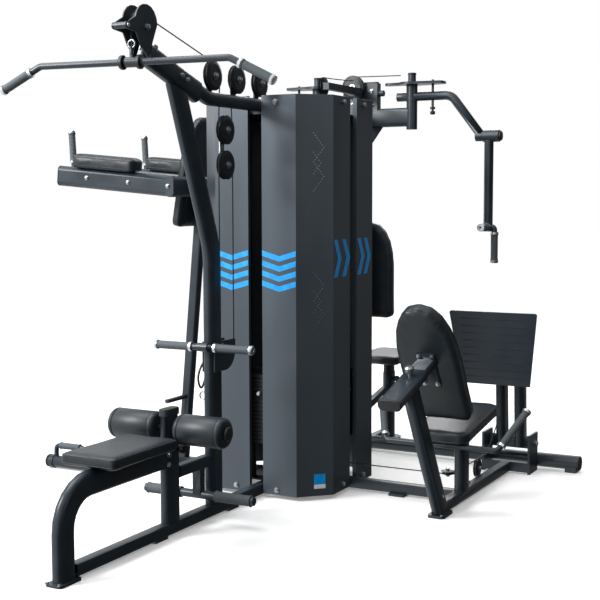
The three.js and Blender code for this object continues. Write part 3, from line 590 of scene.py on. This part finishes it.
for side, sign in sides:
    barEnds = turnedBar(sign * 0.478, 0.026), turnedBar(sign * 0.602, 0.0885)
    addGrip(f"lat_bar_{side}", "lat_bar", *barEnds, latBar["radius"])
    crossGrip(f"row_bar_{side}", "row_bar", rowBar, sign)
    crossGrip(f"footrest_{side}", "frame", footrest, sign, False)
    root, tip = ((legHandle["middle"] + sign * x, y, z) for x, y, z in (legHandle["root"], legHandle["tip"]))
    addGrip(f"leg_handle_{side}", "frame", root, tip, legHandle["radius"])
    x, y = sign * flyHandle["x"], flyHandle["y"]
    handEnds = (x, y, flyHandle["top"]), (x, y, flyHandle["bottom"])
    addGrip(f"fly_hand_{side}", f"fly_forearm_{side}", *handEnds, flyHandle["radius"])
    pressEnds = [(sign * flyPress["x"], flyPress[key], flyPress["z"]) for key in ("root", "tip")]
    addGrip(f"fly_press_{side}", f"fly_forearm_{side}", *pressEnds, flyPress["radius"])
for side, y in (("front", -dipBar["y"]), ("rear", dipBar["y"])):
    (footX, footZ), (headX, headZ) = dipBar["foot"], dipBar["head"]
    addGrip(f"dip_{side}", "frame", (footX, y, footZ), (headX, y, headZ), dipBar["radius"])
    lowEnds = [(lowBar[key], y, lowBar["z"]) for key in ("root", "tip")]
    addGrip(f"push_up_{side}", "frame", *lowEnds, lowBar["radius"], False)
print("grips are made")

plugSettings = {"thick": 0.008, "stand": 0.003, "rim": 0.003}


def addPlug(name, body, centre, outward, halfWide, halfHigh, corner):  # moulded plug in an open tube end
    part = bmesh.new()
    size = (halfWide * 2, halfHigh * 2, plugSettings["thick"], 1)
    bmesh.ops.create_cube(part, size=1, matrix=Matrix.Diagonal(size))
    upright = [e for e in part.edges if abs((e.verts[0].co - e.verts[1].co).z) > 0.005]
    softenEdges(part, upright, corner, 6)
    rims = [e for e in part.edges if min(v.co.z for v in e.verts) > 0.003]
    softenEdges(part, rims, plugSettings["rim"], 3)
    outward = Vector(outward).normalized()
    side = Vector((1, 0, 0)) if abs(outward.x) < 0.5 else Vector((0, 1, 0))
    third = outward.cross(side).normalized()
    side = third.cross(outward)
    matrix = Matrix((side, third, outward)).transposed().to_4x4()
    bm = bmesh.new()
    addPart(bm, part, Matrix.Translation(Vector(centre) + outward * plugSettings["stand"]) @ matrix)
    newPiece(f"{name}_plug", bm, blackPlug, body, 30)


plugSets = {  # body, centre, outward, half width, half height, corner
    "carrier": ("frame", (0.91, -0.830, 0.598), (0, -0.9545, -0.298), 0.052, 0.025, 0.022),
    "dip_arm_front": ("frame", (-1.186, -0.32, 1.558), (-1, 0, 0.092), 0.025, 0.052, 0.022),
    "dip_arm_rear": ("frame", (-1.186, 0.32, 1.558), (-1, 0, 0.092), 0.025, 0.052, 0.022),
    "seat_post_top": ("thigh_frame", (0, -1.085, 0.546), (0, 0, 1), 0.0255, 0.051, 0.02),
    "fly_beam_right": ("frame", (0.29, 0.87, 1.881), (1, 0, 0), 0.022, 0.05, 0.02),
    "fly_post_top": ("frame", (0, 0.87, 2.073), (0, 0, 1), 0.088, 0.02, 0.01),
}
for name, settings in plugSets.items():
    addPlug(name, *settings)


def addRoundPlug(name, body, centre, outward, radius):
    profile = [(0, -0.002), (radius, -0.002), (radius, 0.004), (radius - 0.003, 0.0075), (0, 0.0095)]
    bm = bmesh.new()
    addTurned(bm, profile, outFrom(centre, outward), 32)
    newPiece(f"{name}_plug", bm, blackPlug, body, 35)


addRoundPlug("rear_cross", "frame", (1.252, 0.862, 0.048), (1, 0, 0), 0.0378)
for side, sign in sides:
    addRoundPlug(f"fly_shaft_{side}", "frame", (sign * 0.29, 0.87, 2.112), (0, 0, 1), 0.0235)
    addRoundPlug(f"roller_axle_{side}", "thigh_frame", (sign * 0.294, -1.085, 0.467), (sign, 0, 0), 0.03)
    addRoundPlug(f"fly_clamp_{side}", f"fly_arm_{side}", (sign * 0.7975, 0.87, 1.765), (sign, 0, 0), 0.026)
for side, y in (("front", -0.32), ("rear", 0.32)):
    addRoundPlug(f"floor_stub_{side}", "frame", (-1.302, y, 0.036), (-1, 0, 0), 0.034)
print("plugs are made")

# Bolts

toRight, toLeft, toFront, toRear, up = (1, 0, 0), (-1, 0, 0), (0, -1, 0), (0, 1, 0), (0, 0, 1)
tower = {"face": 0.3515, "spread": 0.113, "bolt": 0.011, "panel": 0.3502}
boltPairs = [  # each side of the tower: which way it faces and the heights of its two rows
    (toFront, (0.045, 1.887)),
    (toRight, (0.05, 1.893)),
    (toRear, (0.045, 1.887)),
    (toLeft, (0.05, 1.893)),
]


def towerBolts():
    places = []
    for outward, heights in boltPairs:
        across = Vector(up).cross(Vector(outward))
        face = Vector(outward) * tower["face"]
        for spread in (-tower["spread"], tower["spread"]):
            places += [(face + across * spread + Vector((0, 0, z)), outward, tower["bolt"]) for z in heights]
    return places


wheelBoltPlaces = ((-0.714, 1.98), (-0.508, 1.98), (-0.3, 1.98), (-0.611, 1.747), (-0.611, 1.59))
backRail = {"foot": (-0.345, 0.58), "run": (-0.518, 0.855), "out": (0, -0.855, -0.518)}


def backrestBolts():
    (y, z), (runY, runZ) = backRail["foot"], backRail["run"]
    shares, offsets = (0.05, 0.2), (-0.03, 0.03)
    return [((0.91 + dx, y + runY * t, z + runZ * t), backRail["out"], 0.009) for t in shares for dx in offsets]


boltSets = {  # place, outward and size of each bolt of a set, by set and body
    ("tower", "frame"): towerBolts(),
    ("wheels", "frame"): [((0.0155, y, z), toRight, 0.011) for y, z in wheelBoltPlaces] + [
        ((0.0345, -1.256, 2.124), toRight, 0.011),
        ((-0.0345, -1.256, 2.124), toLeft, 0.011),
        ((0.0345, -1.386, 2.116), toRight, 0.008),
        ((0.0345, -1.2, 2.05), toRight, 0.009),
        ((-0.0345, -1.2, 2.05), toLeft, 0.009),
    ],
    ("mast", "frame"): [
        ((0.0335, -0.64, 0.752), toRight, 0.009),
        ((0.0335, -0.71, 0.78), toRight, 0.009),
        ((0.0275, -1.0, 1.955), toRight, 0.01),
        ((0.0275, -0.96, 1.94), toRight, 0.01),
    ],
    ("legs", "frame"): [
        ((0.026, -1.13, 0.36), toRight, 0.01),
        ((0.026, -1.13, 0.32), toRight, 0.01),
        ((0.936, -0.29, 0.1), toRight, 0.01),
        ((0.936, 0.04, 0.09), toRight, 0.01),
        ((1.0405, 0.782, 0.15), toRight, 0.013),
        ((0.7795, 0.782, 0.15), toLeft, 0.013),
    ],
    ("backrest", "leg_back"): backrestBolts(),
    ("feet", "frame"): [
        ((0.03, -1.854, 0.0097), up, 0.008),
        ((-0.03, -1.854, 0.0097), up, 0.008),
        ((0.94, -0.313, 0.0122), up, 0.007),
    ],
    ("dip", "frame"): [((x, -0.346, z), toFront, 0.009) for x, z in ((-1.0, 1.545), (-0.74, 1.52), (-0.5, 1.5))],
    ("fly", "frame"): [((x, 0.845, z), toFront, 0.009) for x in (-0.06, 0.06) for z in (1.95, 2.03)],
    ("foot_plate", "leg_lever"): [((0.91 + dx, 0.487, 0.64), (0, -1, -0.158), 0.008) for dx in (-0.06, 0.06)],
}
for (name, body), places in boltSets.items():
    bm = bmesh.new()
    for place, outward, size in places:
        addBolt(bm, place, outward, size)
    newPiece(f"{name}_bolts", bm, zincPlate, body, 30)
print("bolts are made")

# Shroud graphics: plain blue chevrons, a vent of small holes and a blank label

chevron = {"top": 1.193, "stroke": 0.026, "pitch": 0.0475, "dip": 0.026, "film": 0.0006, "rows": 4}
chevronSpan = {"inner": 0.0385, "middle": 0.131, "outer": 0.219}
arrow = {"top": 1.242, "point": 1.1525, "foot": 1.063, "wide": 0.038, "reach": 0.046}
arrowStarts = (-0.215, -0.125, 0.045, 0.118)
trimmedArrow = -0.125  # the one whose tip ends at the edge of its panel


def addFilm(bm, outline, place):
    part = bmesh.new()
    face = part.faces.new([part.verts.new((x, y, 0)) for x, y in outline])
    swept = bmesh.ops.extrude_face_region(part, geom=[face])["geom"]
    lifted = [g for g in swept if isinstance(g, bmesh.types.BMVert)]
    bmesh.ops.translate(part, verts=lifted, vec=(0, 0, chevron["film"]))
    addPart(bm, part, place)


def facing(origin, across, upward):
    across, upward = Vector(across), Vector(upward)
    matrix = Matrix((across, upward, across.cross(upward))).transposed().to_4x4()
    return Matrix.Translation(origin) @ matrix


def vStripe(left, middle, right, top):
    upper = [(left, top), (middle, top - chevron["dip"]), (right, top)]
    return upper[::-1] + [(x, z - chevron["stroke"]) for x, z in upper]


def arrowStripe(start):
    top, point, foot = arrow["top"], arrow["point"], arrow["foot"]
    right = start + arrow["wide"]
    tips = [(right + arrow["reach"], point)]
    if start == trimmedArrow:
        edge = -chevronSpan["inner"]
        tips = [(edge, 1.158), (edge, 1.147)]
    return [(start, top), (right, top)] + tips + [(right, foot), (start, foot), (start + arrow["reach"], point)]


inner, middle, outer = (chevronSpan[k] for k in ("inner", "middle", "outer"))
frontFace = facing((0, -tower["panel"], 0), (1, 0, 0), up)
rightFace = facing((tower["panel"], 0, 0), (0, 1, 0), up)
bm = bmesh.new()
for row in range(chevron["rows"]):
    top = chevron["top"] - row * chevron["pitch"]
    addFilm(bm, vStripe(inner, middle, outer, top), frontFace)
    addFilm(bm, vStripe(-outer, -middle, -inner, top), frontFace)
for start in arrowStarts:
    addFilm(bm, arrowStripe(start)[::-1], rightFace)
newPiece("chevron_films", bm, chevronFilm, "frame", 20)

chamfer = {"middle": Vector((0.2853, -0.2853, 0)), "across": Vector((1, 1, 0)).normalized()}
chamferOut = Vector((1, -1, 0)).normalized()
vent = {"bases": (1.472, 0.823), "pitch": 0.0112, "upper": 0.135, "wave": 0.05, "radius": 0.0026}


def ventDots():  # two leaning rows of holes and a short row that crosses them
    dots = []
    for base in vent["bases"]:
        for i in range(13):
            across = 0.045 - vent["wave"] * abs((i % 12) / 6 - 1)
            dots += [(across, base + i * vent["pitch"]), (across, base + vent["upper"] + i * vent["pitch"])]
        for i in range(9):
            dots.append((-0.005 + 0.035 * (1 - abs(i / 4 - 1)), base + 0.08 + i * 0.0125))
    return dots


bm = bmesh.new()
for across, z in ventDots():
    place = chamfer["middle"] + chamfer["across"] * across + Vector((0, 0, z))
    dome = [(0, 0), (vent["radius"], 0), (vent["radius"], 0.0005), (0, 0.0007)]
    addTurned(bm, dome, outFrom(place, chamferOut), 8)
newPiece("vent_rivets", bm, zincPlate, "frame", 30)

label = {"left": -0.005, "right": 0.052, "foot": 0.056, "split": 0.076, "gap": 0.0005, "top": 0.126}


def addLabel(name, low, high, film):
    left, right = label["left"], label["right"]
    bm = bmesh.new()
    face = facing(chamfer["middle"] + Vector((0.0002, -0.0002, 0)), chamfer["across"], up)
    addFilm(bm, [(left, low), (right, low), (right, high), (left, high)], face)
    newPiece(name, bm, film, "frame", 20)


addLabel("label_white", label["foot"], label["split"], whiteFilm)
addLabel("label_blue", label["split"] + label["gap"], label["top"], chevronFilm)
print("shroud graphics are made")

# Small wheels, pins and knobs


def addWheel(name, body, centre, axle, radius, groove, width):
    half = width / 2
    axle = Vector(axle)
    profile = [(0.006, -half), (radius - 0.012, -half), (radius, -half + 0.004), (groove, -0.003), (groove, 0.003)]
    profile += [(radius, half - 0.004), (radius - 0.012, half), (0.006, half), (0.006, -half)]
    bm = bmesh.new()
    addTurned(bm, profile, outFrom(centre, axle), 40)
    newPiece(f"{name}_wheel", bm, wheelNylon, body, 30)
    pin = [(0, -half - 0.002), (0.0055, -half - 0.002), (0.0055, half + 0.002), (0, half + 0.002)]
    bm = bmesh.new()
    addTurned(bm, pin, outFrom(centre, axle), 16)
    addBolt(bm, Vector(centre) + axle * half, axle, 0.010)
    addBolt(bm, Vector(centre) - axle * half, -axle, 0.010)
    newPiece(f"{name}_axle", bm, zincPlate, body, 30)


wheelSets = {  # centre, axle, radius, groove radius, width
    "rear_boom": ((-0.03, 0.43, 2.024), (1, 0, 0), 0.05, 0.04, 0.02),
    "fly_idler": ((-0.046, 0.827, 1.955), (0, 1, 0), 0.026, 0.02, 0.02),
    "leg_side": ((0.866, 0.37, 0.085), (1, 0, 0), 0.046, 0.038, 0.022),
    "leg_corner": ((0.836, 0.034, 0.13), (0, 0, 1), 0.034, 0.027, 0.02),
    "row_guide": ((0, -0.64, 0.752), (1, 0, 0), 0.034, 0.027, 0.02),
}
for name, settings in wheelSets.items():
    addWheel(name, "frame", *settings)

hub = {"bore": 0.007, "radius": 0.017, "edge": 0.0012, "rise": 0.0018, "half": 0.015}


def addHub(name, body, centre, axle, half):  # steel bearing race on each face of a big wheel
    race = [(hub["bore"], 0), (hub["radius"], 0), (hub["radius"], hub["edge"]), (hub["bore"], hub["rise"])]
    bm = bmesh.new()
    for sign in (1, -1):
        outward = Vector(axle) * sign
        addTurned(bm, race, outFrom(Vector(centre) + outward * half, outward), 28)
    newPiece(f"{name}_hub", bm, zincPlate, body, 30)


for name, centre in (
    ("head_pulley", (0, -1.256, 2.124)),
    ("boom_pulley_1", (0, -0.714, 1.98)),
    ("boom_pulley_2", (0, -0.508, 1.98)),
    ("boom_pulley_3", (0, -0.3, 1.98)),
    ("drop_pulley_upper", (0, -0.611, 1.747)),
    ("drop_pulley_lower", (0, -0.611, 1.59)),
):
    addHub(name, name, centre, (1, 0, 0), hub["half"])
addHub("fly_pulley", "fly_pulley", (-0.046, 0.827, 2.052), (0, 1, 0), hub["half"])


def addKnob(name, body, place, outward, size, material=blackPlug):
    profile = [(0, 0), (size * 0.45, 0), (size * 0.45, size * 0.7), (size * 0.8, size * 0.8), (size, size * 1.1)]
    profile += [(size, size * 1.8), (size * 0.75, size * 2.1), (0, size * 2.2)]
    bm = bmesh.new()
    addTurned(bm, profile, outFrom(place, outward), 12)
    newPiece(f"{name}_knob", bm, material, body, 25)


addKnob("backrest", "frame", (0.91, -0.617, 0.691), (0, -0.298, 0.9545), 0.021, zincPlate)
addKnob("thigh_frame", "frame", (0.025, -1.06, 0.375), (1, 0, 0), 0.018)
addKnob("fly_seat", "frame", (0.025, 1.235, 0.36), (1, 0, 0), 0.018)
for side, sign in sides:
    addKnob(f"fly_pin_{side}", f"fly_arm_{side}", (sign * 0.412, 0.87, 1.919), (0, 0, -1), 0.014)

selectorPin = {"reach": 0.2975, "z": 0.499}
pinShank = [(0, 0), (0.0045, 0), (0.0045, -0.05), (0, -0.052)]
pinHead = [(0, 0), (0.008, 0), (0.012, 0.008), (0.012, 0.028), (0.008, 0.034), (0, 0.035)]
for name, outward in (("front", toFront), ("right", toRight), ("rear", toRear)):
    bm = bmesh.new()
    face = Vector(outward) * selectorPin["reach"] + Vector((0, 0, selectorPin["z"]))
    addTurned(bm, pinShank, outFrom(face, outward), 12)
    addTurned(bm, pinHead, outFrom(face, outward), 20)
    newPiece(f"{name}_selector_pin", bm, zincPlate, f"{name}_stack", 30)
print("wheels and knobs are made")

# Cable runs that change length on the machine, each drawn as a straight cable over its node's box and tied to no
# body

cable = {"radius": 0.003, "rings": 40}


def addRun(node):
    low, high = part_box(node)
    x, y = (low[0] + high[0]) / 2, (low[1] + high[1]) / 2
    length, rings = high[2] - low[2], cable["rings"]
    wall = [(cable["radius"], length * i / rings) for i in range(rings + 1)]
    bm = bmesh.new()
    addTurned(bm, [(0, 0)] + wall + [(0, length)], Matrix.Translation((x, y, low[2])), 10)
    piece = newPiece(f"{node}_run", bm, cableSkin, None, 40)
    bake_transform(piece)
    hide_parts(node)


for node, body in movingCables.items():
    addRun(node)


def arcRun(centre, radius, start, end, count):
    turns = [radians(start + (end - start) * i / count) for i in range(count + 1)]
    return [(centre[0] + radius * cos(a), centre[1], centre[2] + radius * sin(a)) for a in turns]


flyRoute = [(0.24, 0.827, 2.104)] + arcRun((-0.046, 0.827, 2.052), 0.058, 80, 180, 8)
flyRoute += [(-0.095, 0.827, 1.975)]
feedRoute = [(-0.03, 0.43, 2.072), (-0.03, 0.6, 2.075), (-0.03, 0.79, 2.085)]
tubePiece("fly_cable_run", flyRoute, cable["radius"], cableSkin, "frame")
tubePiece("fly_feed_cable", feedRoute, cable["radius"], cableSkin, "frame")

disc = [(0.0145, 0), (0.027, 0), (0.029, 0.004), (0.029, 0.014), (0.0145, 0.016), (0.0145, 0)]
bm = bmesh.new()
for x in (-0.05, 0.028):
    addTurned(bm, disc, along(turnedBar(x, 0), turnedBar(x + 0.1, 0)), 32)
newPiece("lat_bar_discs", bm, blackPlug, "lat_bar", 35)
carabiner = arcRun((0, latBar["y"], 2.052), 0.016, -90, 270, 16)
tubePiece("lat_bar_carabiner", carabiner, 0.004, zincPlate, "lat_bar")

strap = [  # a short spare strap folded over a peg of the mast
    (-0.04, -0.70, 0.735),
    (-0.058, -0.73, 0.70),
    (-0.075, -0.75, 0.63),
    (-0.06, -0.74, 0.57),
    (-0.042, -0.73, 0.63),
    (-0.04, -0.72, 0.7),
    (-0.036, -0.70, 0.73),
]
strapHook = [(x * 0.9 - 0.05, y, z) for x, y, z in arcRun((0, -0.742, 0.55), 0.018, 90, 430, 16)]
tubePiece("spare_strap", strap, 0.005, blackPlug, "frame")
tubePiece("spare_strap_hook", strapHook, 0.004, zincPlate, "frame")
print("cables are made")

# Tread strips on the foot plate, and the studio floor

tread = {"origin": (0.91, 0.51, 0.493), "lean": 0.158, "size": (0.33, 0.005, 0.0016), "rows": 9, "pitch": 0.038}
lean = Matrix.Translation(tread["origin"]) @ Matrix.Rotation(pi / 2 + tread["lean"], 4, "X")
bm = bmesh.new()
for row in range(tread["rows"]):
    part = bmesh.new()
    bmesh.ops.create_cube(part, size=1, matrix=Matrix.Diagonal((*tread["size"], 1)))
    softenEdges(part, part.edges, 0.0008, 2)
    addPart(bm, part, lean @ Matrix.Translation((0, 0.04 + row * tread["pitch"], 0.0128)))
newPiece("foot_plate_tread", bm, powderCoat, "leg_lever", 30)

floorSettings = {"size": 40, "drop": 0.0005, "tone": 0.98, "glow": 0.22, "rough": 0.6}
floor = bmesh.new()
bmesh.ops.create_grid(floor, x_segments=1, y_segments=1, size=floorSettings["size"])
floorMesh = bpy.data.meshes.new("studioFloor")
floor.to_mesh(floorMesh)
floor.free()
floorPiece = bpy.data.objects.new("studioFloor", floorMesh)
floorPiece.location = (0, 0, -floorSettings["drop"])
floorPiece.visible_diffuse = False  # the floor throws no light back on the object
floorPiece.visible_glossy = False
bpy.context.scene.collection.objects.link(floorPiece)
paleFloor, _, floorShader = startMaterial("paleFloor", Roughness=floorSettings["rough"])
floorShader.inputs["Base Color"].default_value = grey(floorSettings["tone"])
floorShader.inputs["Emission Color"].default_value = grey(1)
floorShader.inputs["Emission Strength"].default_value = floorSettings["glow"]
floorMesh.materials.append(paleFloor)
print("finished")
